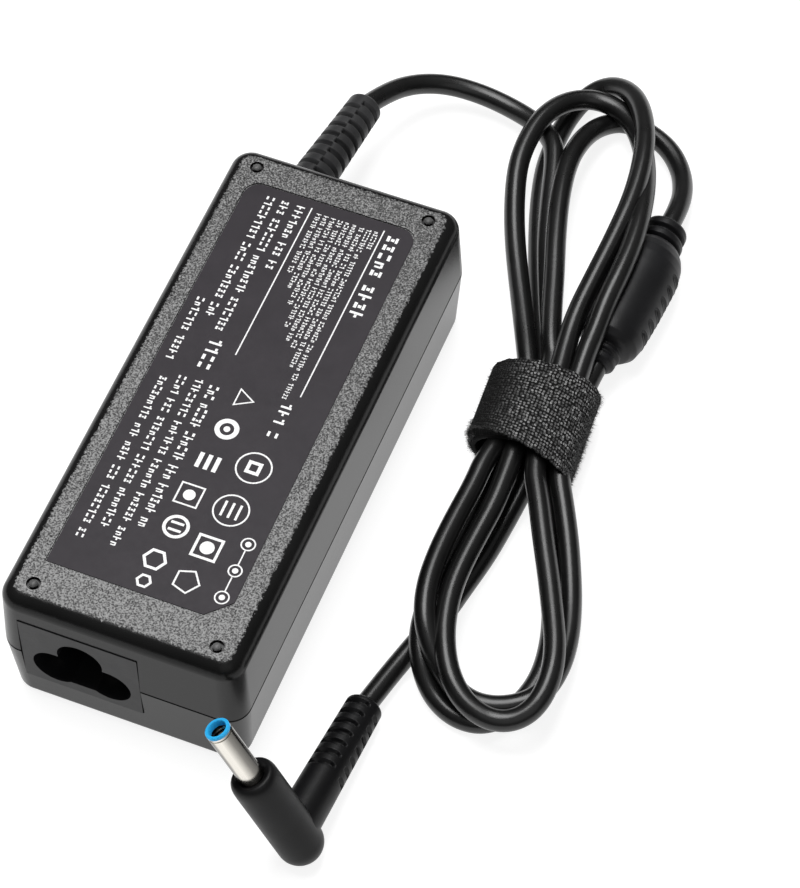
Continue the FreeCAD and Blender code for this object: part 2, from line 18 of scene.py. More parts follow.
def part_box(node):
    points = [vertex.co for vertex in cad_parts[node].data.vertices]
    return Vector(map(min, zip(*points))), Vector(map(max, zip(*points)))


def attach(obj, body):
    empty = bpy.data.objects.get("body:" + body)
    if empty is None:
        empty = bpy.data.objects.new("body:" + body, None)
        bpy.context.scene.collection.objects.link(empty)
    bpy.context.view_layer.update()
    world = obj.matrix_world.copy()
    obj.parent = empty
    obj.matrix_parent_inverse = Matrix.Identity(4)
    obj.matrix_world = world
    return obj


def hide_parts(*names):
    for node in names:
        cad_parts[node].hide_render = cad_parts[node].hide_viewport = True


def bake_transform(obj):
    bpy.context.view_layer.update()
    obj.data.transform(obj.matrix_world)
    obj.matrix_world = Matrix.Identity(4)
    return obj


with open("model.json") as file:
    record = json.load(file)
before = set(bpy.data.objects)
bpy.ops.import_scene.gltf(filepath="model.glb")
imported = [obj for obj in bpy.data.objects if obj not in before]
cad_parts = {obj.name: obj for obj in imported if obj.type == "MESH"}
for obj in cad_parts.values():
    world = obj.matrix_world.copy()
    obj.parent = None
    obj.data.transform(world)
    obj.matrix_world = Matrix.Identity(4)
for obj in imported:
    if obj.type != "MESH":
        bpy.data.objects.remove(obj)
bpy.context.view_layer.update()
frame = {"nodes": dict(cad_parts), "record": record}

MM = 0.001
NODES = frame["nodes"]
UP = Vector((0, 0, 1))


def millimetres(node):
    """The lowest and highest corner of a CAD node, in millimetres."""
    low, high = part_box(node)
    return low / MM, high / MM


def linked(name, data):
    """A new object in the scene."""
    made = bpy.data.objects.new(name, data)
    bpy.context.scene.collection.objects.link(made)
    return made


# ---- camera

CAMERA_PLACE = Vector((158.9, -310.5, 530.9))
CAMERA_AIM = Vector((22.55, 19.91, 0.0))
CAMERA_ROLL = math.radians(-0.77)
CAMERA_LENS = 140.2


def camera():
    """A long lens, above the front end and a little to the right."""
    made = linked("camera", bpy.data.cameras.new("camera"))
    made.data.sensor_width = 36
    made.data.lens = CAMERA_LENS
    look = (CAMERA_AIM - CAMERA_PLACE).to_track_quat("-Z", "Y")
    made.rotation_mode = "QUATERNION"
    made.rotation_quaternion = look @ Matrix.Rotation(CAMERA_ROLL, 3, "Z").to_quaternion()
    made.location = CAMERA_PLACE * MM
    made.data.clip_start = 0.01
    bpy.context.scene.camera = made


camera()

# ---- the cord's route

CORD = 4.0

# The three stretches that aren't wound, as the CAD model has them.
LEAD_ROUTE = [
    (-9.8, 83.3, 12.0), (-8.0, 89.2, 10.2), (-4.6, 95.1, 7.8), (0.8, 99.0, 5.8), (7.6, 100.2, 4.5),
    (14.9, 99.3, 4.0), (21.2, 96.8, 4.6), (25.7, 92.6, 6.2),
]
BEAD_ROUTE = [
    (40.4, 105.2, 2.0), (46.2, 102.6, 2.0), (50.4, 97.8, 2.2), (52.8, 91.6, 3.8), (53.5, 85.4, 5.7),
    (53.2, 79.2, 6.6), (51.8, 46.4, 6.6), (51.3, 41.8, 5.5), (51.0, 38.4, 4.6),
]
PLUG_ROUTE = [
    (44.0, -12.3, 2.0), (42.1, -17.9, 2.0), (40.6, -23.5, 2.0), (39.3, -29.3, 2.4), (38.2, -35.4, 3.1),
]

# The loose hank. Each run goes from one pass through the tie to the next, round one end of the hank.
INTO_TIE = [
    (27.8, 87.1, 6.3), (29.9, 79.6, 6.1), (32.8, 70.1, 5.8), (36.4, 60.7, 5.6), (39.9, 52.3, 5.6),
    (42.6, 46.1, 5.4), (45.4, 38.2, 5.2),
]
NEAR_TURN_1 = [
    (48.5, 21.8, 5.6), (52.3, 15.3, 6.4), (55.5, 8.9, 5.4), (58.4, 2.9, 3.8), (61.2, -3.2, 2.4),
    (63.5, -10.5, 2.0), (64.4, -17.7, 2.0), (63.5, -23.4, 2.0), (61.4, -27.8, 2.0), (58.4, -30.5, 2.0),
    (54.7, -31.2, 2.0), (50.9, -30.2, 2.1), (47.4, -28.0, 3.0), (44.5, -24.6, 4.8), (42.4, -20.0, 6.1),
    (41.4, -14.0, 6.3), (41.1, -6.9, 6.0), (41.3, 0.6, 5.7), (41.5, 8.2, 5.2), (41.2, 15.7, 4.8),
]
FAR_TURN_1 = [
    (41.4, 36.8, 5.7), (39.0, 42.8, 6.0), (35.4, 50.4, 5.8), (31.3, 58.8, 5.8), (27.4, 67.0, 6.4),
    (24.4, 74.5, 7.4), (22.2, 81.9, 8.5), (21.6, 88.0, 9.1), (22.1, 94.0, 9.2), (23.7, 99.1, 8.5),
    (26.3, 102.9, 7.5), (29.7, 104.9, 6.8), (33.5, 104.9, 6.6), (37.0, 103.1, 6.7), (40.2, 99.9, 7.2),
    (43.6, 94.0, 8.8), (46.7, 85.9, 11.4), (48.9, 76.8, 13.8), (50.0, 68.6, 14.8), (50.2, 61.5, 14.8),
    (49.9, 55.0, 13.8), (49.9, 49.0, 12.0), (49.8, 43.3, 10.4),
]
NEAR_TURN_2 = [
    (53.8, 19.6, 8.4), (57.1, 13.2, 7.4), (60.2, 7.1, 6.4), (62.9, 1.0, 5.6), (65.0, -4.5, 5.3),
    (66.8, -10.8, 5.6), (67.6, -17.0, 6.2), (66.9, -21.8, 5.7), (65.0, -24.9, 5.1), (62.2, -27.0, 4.7),
    (58.9, -28.3, 4.5), (55.5, -28.6, 4.6), (52.1, -27.6, 5.0), (48.5, -25.2, 6.2), (45.2, -22.3, 8.2),
    (42.5, -18.0, 9.8), (40.8, -12.1, 10.2), (40.2, -4.9, 10.2), (40.3, 2.7, 10.0), (40.7, 10.6, 9.8),
    (40.8, 17.5, 9.6),
]
FAR_TURN_2 = [
    (43.2, 38.4, 5.0), (40.6, 46.7, 3.6), (37.4, 54.2, 2.6), (33.7, 63.2, 2.1), (30.3, 72.2, 2.0),
    (27.6, 80.3, 2.0), (25.6, 88.3, 2.0), (25.0, 95.0, 2.0), (25.1, 100.7, 2.0), (25.9, 105.4, 2.2),
    (27.4, 108.6, 3.0), (29.6, 110.2, 4.4), (32.5, 109.9, 6.4), (35.8, 107.9, 8.4), (38.7, 104.5, 10.2),
    (41.3, 99.8, 11.8), (43.6, 93.9, 13.2), (45.3, 86.7, 14.0), (46.2, 78.7, 14.0), (46.1, 69.9, 13.2),
    (45.6, 61.0, 12.2), (45.2, 52.5, 11.2), (45.8, 44.1, 10.4),
]
NEAR_TURN_3 = [
    (49.7, 18.0, 10.3), (52.9, 11.3, 10.4), (56.6, 3.8, 10.2), (60.4, -3.6, 10.0), (63.8, -10.7, 10.0),
    (66.2, -16.3, 10.0), (67.4, -21.5, 9.8), (67.3, -25.8, 9.0), (66.0, -29.0, 8.0), (63.6, -31.1, 7.2),
    (60.6, -32.0, 7.0), (57.3, -31.7, 7.4), (53.9, -30.1, 8.0), (50.7, -27.0, 8.7), (48.1, -22.6, 9.0),
    (46.2, -17.5, 9.1), (45.0, -11.4, 9.2), (44.8, -5.2, 9.3), (45.1, 1.2, 9.4), (45.5, 8.3, 9.6),
    (45.2, 15.6, 9.8), (44.7, 22.5, 9.8),
]
FAR_TURN_3 = [
    (44.2, 41.2, 8.2), (42.2, 46.5, 8.6), (39.9, 53.2, 8.9), (37.6, 60.6, 9.2), (34.9, 68.8, 9.6),
    (32.3, 78.0, 9.4), (30.7, 86.8, 8.3), (30.6, 93.9, 6.6), (31.6, 99.3, 4.8), (33.5, 103.0, 3.3),
    (36.3, 105.2, 2.3),
]
OUT_OF_TIE = [
    (48.2, 22.1, 3.6), (47.6, 15.1, 2.5), (47.0, 8.2, 2.0), (46.3, 1.2, 2.0), (45.0, -6.3, 2.0),
]
# Where each pass lies inside the tie: to the side of the tie's middle, and above the floor.
TIE_PASSES = [(1.6, 5.0), (-4.3, 5.0), (5.9, 9.0), (-2.5, 7.6), (2.8, 10.0), (-0.6, 9.4), (5.0, 4.4)]
TIE_MIDDLE = (45.2, 29.0)


def through(before, point, after):
    """The control point that makes the spline pass through the point, between its two neighbours."""
    return Vector(point) + (2 * Vector(point) - Vector(before) - Vector(after)) / 8


def cord_points():
    """The control points of the whole cord, from the housing to the plug."""
    runs = [
        INTO_TIE, NEAR_TURN_1, FAR_TURN_1, NEAR_TURN_2, FAR_TURN_2, NEAR_TURN_3, FAR_TURN_3 + BEAD_ROUTE,
        OUT_OF_TIE + PLUG_ROUTE,
    ]
    points = LEAD_ROUTE + runs[0]
    for run, (side, height) in zip(runs[1:], TIE_PASSES):
        points.append((TIE_MIDDLE[0] + side, TIE_MIDDLE[1], height))
        points += run
    free = set(LEAD_ROUTE + BEAD_ROUTE + PLUG_ROUTE)
    made = [Vector(points[0])]
    for before, point, after in zip(points, points[1:], points[2:]):
        made.append(Vector(point) if point in free else through(before, point, after))
    return made + [Vector(points[-1])]


# ---- mesh helpers

def new_mesh(name, points, faces):
    """A smooth object whose points are given in millimetres."""
    mesh = bpy.data.meshes.new(name)
    mesh.from_pydata([tuple(c * MM for c in p) for p in points], [], faces)
    mesh.update()
    for face in mesh.polygons:
        face.use_smooth = True
    return linked(name, mesh)


def finished(piece, body, material, replaced=()):
    """Gives a piece its body, its finish and the CAD nodes that it stands for."""
    piece.data.materials.clear()
    piece.data.materials.append(material)
    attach(piece, body)
    if replaced:
        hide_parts(*replaced)
    return piece


def ring_faces(rings, around, closed_ends=True):
    """Quads that join ring after ring of points, and one face over each end if the ends are closed."""
    faces = []
    for i in range(rings - 1):
        for j in range(around):
            k = (j + 1) % around
            faces.append((i * around + j, i * around + k, (i + 1) * around + k, (i + 1) * around + j))
    if closed_ends:
        faces.append(tuple(reversed(range(around))))
        faces.append(tuple(range((rings - 1) * around, rings * around)))
    return faces


def axes_along(direction):
    """Two directions across an axis: the first as far up as it can be, the second to its right."""
    along = Vector(direction).normalized()
    up = (UP - along * UP.dot(along)).normalized()
    return up, along.cross(up), along


def lathe(name, start, direction, stations, around, radius):
    """A closed round piece along an axis. stations are distances along it, and radius(distance, angle) gives
    the surface, with the angle in degrees from the top."""
    up, side, along = axes_along(direction)
    points = []
    for s in stations:
        for j in range(around):
            turn = 360 * j / around
            r = radius(s, turn)
            t = math.radians(turn)
            points.append(Vector(start) + along * s + (up * math.cos(t) - side * math.sin(t)) * r)
    return new_mesh(name, points, ring_faces(len(stations), around))


def spun(name, start, direction, profile, around, tube=False):
    """A closed piece turned about an axis, from a profile of radius and distance along. A tube's profile
    runs round the section of its wall."""
    up, side, along = axes_along(direction)
    points = []
    for r, s in profile:
        for j in range(around):
            t = 2 * math.pi * j / around
            points.append(Vector(start) + along * s + (up * math.cos(t) - side * math.sin(t)) * r)
    faces = ring_faces(len(profile), around, not tube)
    if tube:
        last = (len(profile) - 1) * around
        faces += [(last + j, last + (j + 1) % around, (j + 1) % around, j) for j in range(around)]
    return new_mesh(name, points, faces)


def step(value, low, high):
    """0 below low, 1 above high, and smooth between them."""
    t = min(1.0, max(0.0, (value - low) / (high - low)))
    return t * t * (3 - 2 * t)


def window(value, half, soft):
    """1 within half of zero, falling to 0 over the soft distance outside it."""
    return 1 - step(abs(value), half, half + soft)


def turned_by(angle, middle):
    """The signed difference between two angles in degrees."""
    return (angle - middle + 180) % 360 - 180


def rounded(profile, stations, reach):
    """The radius at each station of a profile of corners, with its corners rounded over a reach."""
    along = [s for r, s in profile]
    radii = [r for r, s in profile]
    shifts = np.linspace(-reach, reach, 9)
    return {s: float(np.mean([np.interp(s + d, along, radii) for d in shifts])) for s in stations}


def united(keep, other):
    """Joins two closed meshes into one solid."""
    union = keep.modifiers.new("union", "BOOLEAN")
    union.operation = "UNION"
    union.solver = "EXACT"
    union.object = other
    bpy.context.view_layer.update()
    graph = bpy.context.evaluated_depsgraph_get()
    mesh = bpy.data.meshes.new_from_object(keep.evaluated_get(graph))
    keep.modifiers.clear()
    keep.data = mesh
    bpy.data.objects.remove(other)
    return keep


# ---- materials

class Finish:
    """A node material in the making."""

    def __init__(self, name):
        self.material = bpy.data.materials.new(name)
        self.material.use_nodes = True
        self.nodes = self.material.node_tree.nodes
        self.links = self.material.node_tree.links
        self.shader = self.nodes["Principled BSDF"]
        self.place = self.node("ShaderNodeTexCoord").outputs["Object"]

    def put(self, socket, value):
        """Links an input to another node's output, or sets its value."""
        if isinstance(value, bpy.types.NodeSocket):
            self.links.new(value, socket)
        else:
            socket.default_value = value

    def node(self, kind, inputs=None, **settings):
        made = self.nodes.new(kind)
        for key, value in settings.items():
            setattr(made, key, value)
        for key, value in (inputs or {}).items():
            self.put(made.inputs[key], value)
        return made

    def set(self, **values):
        """Sets the shader's inputs, with their names' spaces written as underscores."""
        for key, value in values.items():
            self.put(self.shader.inputs[key.replace("_", " ")], value)

    def math(self, operation, *values):
        made = self.node("ShaderNodeMath", operation=operation)
        for socket, value in zip(made.inputs, values):
            self.put(socket, value)
        return made.outputs[0]

    def axis(self, vector, name):
        """One component of a vector."""
        return self.node("ShaderNodeSeparateXYZ", {"Vector": vector}).outputs[name]

    def noise(self, size, detail=2.0):
        """Noise with features of about that size in millimetres."""
        settings = {"Vector": self.place, "Scale": 1 / (size * MM), "Detail": detail}
        return self.node("ShaderNodeTexNoise", settings).outputs["Fac"]

    def ramp(self, factor, *stops):
        """A colour for each value of a factor. Each stop is a place and a colour or a grey."""
        made = self.node("ShaderNodeValToRGB", {"Fac": factor})
        bar = made.color_ramp.elements
        while len(bar) < len(stops):
            bar.new(0.5)
        for element, (at, colour) in zip(bar, stops):
            element.position = at
            rgb = colour if isinstance(colour, tuple) else (colour,) * 3
            element.color = (*rgb, 1)
        return made.outputs["Color"]

    def between(self, factor, low, high, start=0.0, end=1.0):
        """A number that goes from low to high as a factor goes from start to end."""
        settings = {"Value": factor, "From Min": start, "From Max": end, "To Min": low, "To Max": high}
        return self.node("ShaderNodeMapRange", settings).outputs[0]

    def bump(self, height, depth, after=None):
        """Raises the surface by up to a depth in millimetres, on top of another bump if one is given."""
        made = self.node("ShaderNodeBump", {"Height": height, "Distance": depth * MM, "Strength": 1.0})
        if after is not None:
            self.put(made.inputs["Normal"], after)
        self.put(self.shader.inputs["Normal"], made.outputs[0])
        return made.outputs[0]


DULL_IOR = 1.3  # moulded black plastic reflects less than a clean polished surface


def shade(colour, share):
    """A colour made darker or lighter by a factor."""
    return tuple(c * share for c in colour)


def moulded(name, colour, roughness, grain=0.5, depth=0.012, spread=0.25):
    """Moulded plastic or rubber: a fine grain, and a colour and gloss that vary a little."""
    made = Finish(name)
    dark, light = shade(colour, 1 - spread), shade(colour, 1 + spread)
    made.set(Base_Color=made.ramp(made.noise(9.0, 3.0), (0.3, dark), (0.7, light)))
    made.set(Roughness=made.between(made.noise(2.5, 3.0), roughness - 0.06, roughness + 0.08), IOR=DULL_IOR)
    made.bump(made.noise(grain, 3.0), depth)
    return made.material


def metal(name, colour, roughness, brushed=1.0):
    """Bright metal with faint rub marks."""
    made = Finish(name)
    tone = made.ramp(made.noise(1.6, 4.0), (0.3, shade(colour, 0.86)), (0.7, colour))
    made.set(Metallic=1.0, Base_Color=tone)
    made.set(Roughness=made.between(made.noise(0.5, 3.0), roughness, roughness + 0.12))
    made.bump(made.noise(0.2, 2.0), 0.004 * brushed)
    return made.material


NICKEL = (1.0, 0.96, 0.88)
# Painted reflection: how bright the barrel is painted, from the side facing away from its painted dark band
# (0) to the side facing it (1).
NICKEL_REFLECTION_BANDS = [
    (0.0, 0.1), (0.07, 0.2), (0.14, 0.75), (0.32, 0.8), (0.5, 0.46), (0.64, 0.22), (0.9, 0.07), (1.0, 0.2)]


def barrel_metal():
    """Polished nickel with a painted reflection: painted bright to the left, with a painted dark band down
    its right side, by which way the surface faces.
    """
    made = Finish("plug_nickel")
    facing = made.node("ShaderNodeNewGeometry").outputs["Normal"]
    aside = made.node("ShaderNodeVectorMath", {0: facing, 1: BARREL_DARK_BAND_SIDE}, operation="DOT_PRODUCT")
    wavering = made.math("MULTIPLY", made.noise(1.5, 3.0), 0.05)
    level = made.between(made.math("ADD", aside.outputs["Value"], wavering), 0, 1, -1.0)
    bands = [(at, shade(NICKEL, bright)) for at, bright in NICKEL_REFLECTION_BANDS]
    made.set(Metallic=1.0, Base_Color=made.ramp(level, *bands))
    made.set(Roughness=made.between(made.noise(0.8, 3.0), 0.16, 0.24))
    made.bump(made.noise(0.25, 2.0), 0.001)
    return made.material


GRAIN_DEPTH = 0.45  # how far below the top the grain ends
PAINTED_LIGHT_RUN = 53.0  # painted light: the grain is painted paler towards the front, fading out between this far before the middle and this far behind it


def housing_plastic():
    """Black plastic: a coarse grain on the flat top, smooth and satin elsewhere. The grain's pale flecks are
    painted glints, and painted light makes the grain paler towards the front.
    """
    made = Finish("shell_plastic")
    top = millimetres("upper_shell")[1].z
    upward = made.axis(made.node("ShaderNodeNewGeometry").outputs["Normal"], "Z")
    ragged = made.math("MULTIPLY", made.noise(0.5, 2.0), 0.12)
    flat = made.between(made.math("ADD", upward, ragged), 0.0, 1.0, 1.02, 1.04)
    high = made.math("GREATER_THAN", made.axis(made.place, "Z"), (top - GRAIN_DEPTH) * MM)
    grainy = made.math("MULTIPLY", flat, high)
    coarse = made.noise(0.3, 1.0)
    # painted light: the grain is painted paler towards the front
    paler = made.between(made.axis(made.place, "Y"), 0.1, 0.0, -PAINTED_LIGHT_RUN * MM, PAINTED_LIGHT_RUN * MM)
    # the grain's own dark and grey tone, with pale flecks that are painted glints
    grain_and_glint_tone = made.ramp(made.math("ADD", coarse, paler), (0.34, 0.035), (0.5, 0.13), (0.7, 0.38))
    plain = made.ramp(made.noise(14.0, 3.0), (0.3, 0.006), (0.7, 0.009))
    mixed = made.node("ShaderNodeMix", data_type="RGBA")
    made.put(mixed.inputs["Factor"], grainy)
    made.put(mixed.inputs["A"], plain)
    made.put(mixed.inputs["B"], grain_and_glint_tone)
    made.set(Base_Color=mixed.outputs["Result"])
    made.set(Roughness=made.between(grainy, 0.24, 0.42), IOR=DULL_IOR)
    smooth = made.bump(made.noise(0.25, 2.0), 0.004)
    made.bump(made.math("MULTIPLY", coarse, grainy), 0.28, smooth)
    return made.material


def film():
    """The label's satin film, dark and slightly warm."""
    made = Finish("label_film")
    dark, light = (0.016, 0.012, 0.017), (0.023, 0.018, 0.024)
    made.set(Base_Color=made.ramp(made.noise(6.0, 4.0), (0.3, dark), (0.7, light)))
    made.set(Roughness=made.between(made.noise(1.2, 3.0), 0.4, 0.5), IOR=DULL_IOR)
    made.bump(made.noise(0.3, 2.0), 0.004)
    return made.material


def ink():
    """White print, a little uneven and faintly glowing."""
    made = Finish("label_ink")
    made.set(Base_Color=made.ramp(made.noise(0.35, 3.0), (0.35, 0.62), (0.65, 0.92)))
    made.set(Roughness=made.between(made.noise(0.5, 2.0), 0.4, 0.55))
    made.set(Emission_Color=(1, 1, 1, 1), Emission_Strength=0.22)
    made.bump(made.noise(0.2, 2.0), 0.003)
    return made.material


def cord_plastic():
    """The cord's soft plastic: satin, with faint handling marks."""
    made = Finish("cord_pvc")
    made.set(Base_Color=made.ramp(made.noise(7.0, 3.0), (0.3, 0.004), (0.7, 0.008)))
    made.set(Roughness=made.between(made.noise(3.0, 3.0), 0.24, 0.33))
    made.bump(made.noise(0.8, 3.0), 0.01)
    return made.material


def strap_fabric():
    """Knitted loops: small pale rings of thread on a dark ground, painted paler where light falls on the top
    of the strap. The mesh carries the place along and across the strap in millimetres, and that painted light
    from 0 to 1."""
    made = Finish("tie_fabric")
    weave = made.node("ShaderNodeAttribute", attribute_name="weave").outputs["Vector"]
    settings = {"Vector": weave, "Scale": 1 / LOOP[0], "Randomness": 0.45}
    loops = made.node("ShaderNodeTexVoronoi", settings, voronoi_dimensions="2D").outputs
    ring = made.ramp(loops["Distance"], (0.0, 0.2), (0.12, 0.6), (0.22, 1.0), (0.34, 0.5), (0.46, 0.0))
    # painted light: the rings are painted paler where light falls on the strap's top
    lit_rings = made.math("MULTIPLY", ring, made.axis(weave, "Z"))
    pale = made.math("MULTIPLY", lit_rings, made.between(made.axis(loops["Color"], "X"), 0.5, 1.1))
    tone = made.ramp(pale, (0.0, 0.003), (0.3, 0.025), (0.65, 0.15), (1.0, 0.52))
    made.set(Base_Color=tone, Roughness=made.between(pale, 0.85, 0.5), IOR=DULL_IOR)
    made.set(Sheen_Weight=0.03, Sheen_Roughness=0.4)
    made.bump(ring, 0.05)
    return made.material


def fibre(name, dark, pale):
    """Stray fibres, from one grey to another."""
    made = Finish(name)
    made.set(Base_Color=made.ramp(made.noise(0.8, 2.0), (0.3, dark), (0.7, pale)))
    made.set(Roughness=made.between(made.noise(0.5, 2.0), 0.5, 0.7), Sheen_Weight=0.2)
    return made.material


def laminate():
    """Circuit board: solder mask over faint copper tracks."""
    made = Finish("board_laminate")
    settings = {"Vector": made.place, "Scale": 260.0, "Mortar Size": 0.03}
    tracks = made.node("ShaderNodeTexBrick", settings).outputs["Fac"]
    made.set(Base_Color=made.ramp(tracks, (0.0, (0.02, 0.11, 0.04)), (1.0, (0.05, 0.22, 0.08))))
    made.set(Roughness=made.between(made.noise(3.0, 2.0), 0.3, 0.42))
    made.bump(tracks, 0.03)
    return made.material


def wound(name, colour, pitch, roughness):
    """Something wound in turns, such as enamelled wire or tape."""
    made = Finish(name)
    settings = {"Vector": made.place, "Scale": 1 / (pitch * MM) / 2, "Distortion": 0.6}
    turns = made.node("ShaderNodeTexWave", settings, bands_direction="Z").outputs["Fac"]
    made.set(Base_Color=made.ramp(turns, (0.0, shade(colour, 0.45)), (0.6, colour)))
    made.set(Roughness=made.between(made.noise(2.0, 2.0), roughness, roughness + 0.15))
    made.bump(turns, 0.1)
    return made.material


# Colour, roughness, and where they aren't the usual ones, size and depth of grain and spread of colour.
MOULDED = {
    "inlet_plastic": ((0.008, 0.008, 0.009), 0.34),
    "insulating_film": ((0.03, 0.03, 0.03), 0.3, 2.0),
    "black_epoxy": ((0.02, 0.02, 0.022), 0.5, 0.3, 0.02),
    "blue_epoxy": ((0.03, 0.10, 0.34), 0.25, 2.0, 0.04),
    "green_epoxy": ((0.03, 0.13, 0.06), 0.3, 2.0, 0.04),
    "yellow_case": ((0.62, 0.46, 0.05), 0.4),
    "fuse_sleeve": ((0.62, 0.60, 0.54), 0.45, 0.4, 0.02),
    "soft_ferrite": ((0.06, 0.06, 0.065), 0.6, 0.3, 0.03),
    "bobbin_resin": ((0.02, 0.02, 0.02), 0.45),
    "capacitor_sleeve": ((0.02, 0.02, 0.05), 0.22, 3.0, 0.02),
    "brown_wire": ((0.13, 0.05, 0.02), 0.35, 1.0),
    "blue_wire": ((0.02, 0.07, 0.34), 0.35, 1.0),
    "earth_wire_pvc": ((0.17, 0.34, 0.03), 0.35, 1.0, 0.012, 0.5),
    "output_wire_pvc": ((0.32, 0.02, 0.02), 0.35, 1.0),
    "relief_pvc": ((0.032, 0.032, 0.033), 0.4, 0.3, 0.03),
    "bead_cover_pvc": ((0.011, 0.011, 0.012), 0.4, 0.4, 0.01),
    "plug_pvc": ((0.005, 0.005, 0.0055), 0.42, 0.35, 0.012),
    "plug_blue": ((0.03, 0.44, 0.86), 0.3, 0.8, 0.01, 0.1),
    # painted highlight: the pips' grey, paler than the housing's black, stands for the light on their domes
    "pip_plastic_painted_highlight": ((0.11, 0.11, 0.11), 0.32),
}


def finishes():
    """One material for each of the record's slots, and one for the pips."""
    paint = {name: moulded(name, *row) for name, row in MOULDED.items()}
    return paint | {
        "shell_plastic": housing_plastic(),
        "label_film": film(),
        "contact_nickel": metal("contact_nickel", (0.72, 0.69, 0.62), 0.2),
        "board_laminate": laminate(),
        "sheet_aluminium": metal("sheet_aluminium", (0.70, 0.70, 0.71), 0.35, 3.0),
        "enamelled_copper": wound("enamelled_copper", (0.50, 0.19, 0.06), 0.5, 0.25),
        "winding_tape": wound("winding_tape", (0.66, 0.50, 0.06), 3.0, 0.3),
        "cord_pvc": cord_plastic(),
        "tie_fabric": strap_fabric(),
        "plug_nickel": barrel_metal(),
    }


# ---- cord

def cord(material):
    """The output cord: one swept curve from the housing to the plug."""
    curve = bpy.data.curves.new("output_cord", "CURVE")
    curve.dimensions = "3D"
    curve.bevel_depth = CORD / 2 * MM
    curve.bevel_resolution = 7
    curve.use_fill_caps = True
    spline = curve.splines.new("NURBS")
    points = cord_points()
    spline.points.add(len(points) - 1)
    for target, point in zip(spline.points, points):
        target.co = (*(point * MM), 1)
    spline.order_u = 3
    spline.use_endpoint_u = True
    spline.resolution_u = 10
    made = linked("output_cord", curve)
    nodes = [
        "cord_lead", "cord_loops_upper", "cord_loops_lower", "cord_waist", "cord_bead_run", "cord_plug_lead"]
    finished(made, "adapter", material, nodes)


# ---- strain relief

RELIEF_ROOT = Vector((-12.4, 53.5, 15.0))
RELIEF_TIP = Vector(LEAD_ROUTE[0])
RELIEF_RADII = (4.35, 3.4)
RELIEF_CORE = 2.45
RELIEF_PITCH = 2.9  # from one slot to the next in the same quarter of the boot
RELIEF_ROWS = 8
RELIEF_SLOT = 1.05
RELIEF_COLLAR = 2.0  # plain length at the tip
RELIEF_TURN = -9.0  # degrees, where the quarters with and without a slot meet
RELIEF_SET_IN = 1.4  # how far the root reaches into the housing
RELIEF_REACH = (43.0, 2.5)  # degrees: half of a slot's reach round the boot, and how soft its ends are
RELIEF_STEP = 0.12  # mesh spacing along it


def strain_relief(material):
    """The boot at the housing: slots over opposite quarters, and half a pitch on over the other two."""
    run = RELIEF_TIP - RELIEF_ROOT
    length = run.length
    last = length - RELIEF_COLLAR - RELIEF_SLOT / 2

    def radius(s, angle):
        outer = RELIEF_RADII[0] + (RELIEF_RADII[1] - RELIEF_RADII[0]) * max(0.0, s) / length
        outer -= 0.5 * step(s, length - 0.8, length + 0.15) ** 2
        cut = 0.0
        for row in range(RELIEF_ROWS):
            for family in (0, 1):
                middle = last - RELIEF_PITCH * row - (1 - family) * RELIEF_PITCH / 2
                across = window(s - middle, RELIEF_SLOT / 2 - 0.08, 0.14)
                if across > 0:
                    quarter = RELIEF_TURN + 45 + 90 * family
                    part = turned_by(angle * 2, quarter * 2) / 2
                    cut = max(cut, across * window(part, *RELIEF_REACH))
        return outer - cut * (outer - RELIEF_CORE)

    count = int((length + RELIEF_SET_IN) / RELIEF_STEP) + 1
    stations = [-RELIEF_SET_IN + RELIEF_STEP * i for i in range(count)] + [length]
    made = lathe("strain_relief", RELIEF_ROOT, run, stations, 144, radius)
    return finished(made, "adapter", material, ["cord_strain_relief"])


# ---- ferrite bead

BEAD_TOP = Vector((53.3, 80.4, 6.6))
BEAD_END = Vector((51.7, 45.4, 6.6))
BEAD_PROFILE = [
    (3.3, 0.0), (4.0, 0.25), (4.25, 0.8), (4.25, 2.0), (3.2, 2.15), (3.2, 2.95), (4.35, 3.1), (4.5, 3.6),
    (4.5, 4.7), (3.5, 4.85), (3.5, 5.45), (4.7, 5.7), (5.6, 7.0), (6.25, 8.6), (6.6, 10.6), (6.7, 13.0),
    (6.55, 20.0), (6.35, 24.0), (6.1, 27.6), (5.7, 29.4), (4.6, 30.7), (3.0, 31.1), (3.0, 31.5), (3.4, 31.7),
    (3.4, 32.5), (2.8, 32.7), (2.8, 33.2), (3.2, 33.4), (3.1, 34.4), (2.3, 35.03),
]
BEAD_SLITS = 6
BEAD_SLIT_PITCH = 2.85
BEAD_FIRST_SLIT = 12.0
BEAD_SLIT_HALF = (0.5, 28.0)  # half width along the bead in mm, and half length round it in degrees
BEAD_SLIT_AT = 93.0  # degrees from the top
BEAD_SLIT_DEPTH = 1.6
BEAD_RIM = 0.14  # how far a slit's rim stands up
BEAD_STEP = 0.1  # mesh spacing along it


def ferrite_bead(material):
    """The moulded cover of the ferrite sleeve: collars at both ends, and rimmed grip slits on one side."""
    length = (BEAD_END - BEAD_TOP).length
    stations = sorted({round(BEAD_STEP * i, 3) for i in range(int(length / BEAD_STEP) + 1)} | {length})
    body = rounded(BEAD_PROFILE, stations, 0.16)

    def radius(s, angle):
        r = body[s]
        for i in range(BEAD_SLITS):
            off = s - BEAD_FIRST_SLIT - BEAD_SLIT_PITCH * i
            part = turned_by(angle, BEAD_SLIT_AT)
            if abs(off) < 1.0 and abs(part) < BEAD_SLIT_HALF[1] + 8:
                narrow = BEAD_SLIT_HALF[0] * math.sqrt(max(0.0, 1 - (part / BEAD_SLIT_HALF[1]) ** 6))
                if narrow > 0:
                    r -= BEAD_SLIT_DEPTH * window(off, narrow, 0.1)
                rim = window(abs(off) - narrow - 0.18, 0.05, 0.16) * window(part, BEAD_SLIT_HALF[1], 3.0)
                r += BEAD_RIM * rim
        return r

    made = lathe("ferrite_bead_cover", BEAD_TOP, BEAD_END - BEAD_TOP, stations, 180, radius)
    return finished(made, "adapter", material, ["ferrite_cover"])


# ---- plug

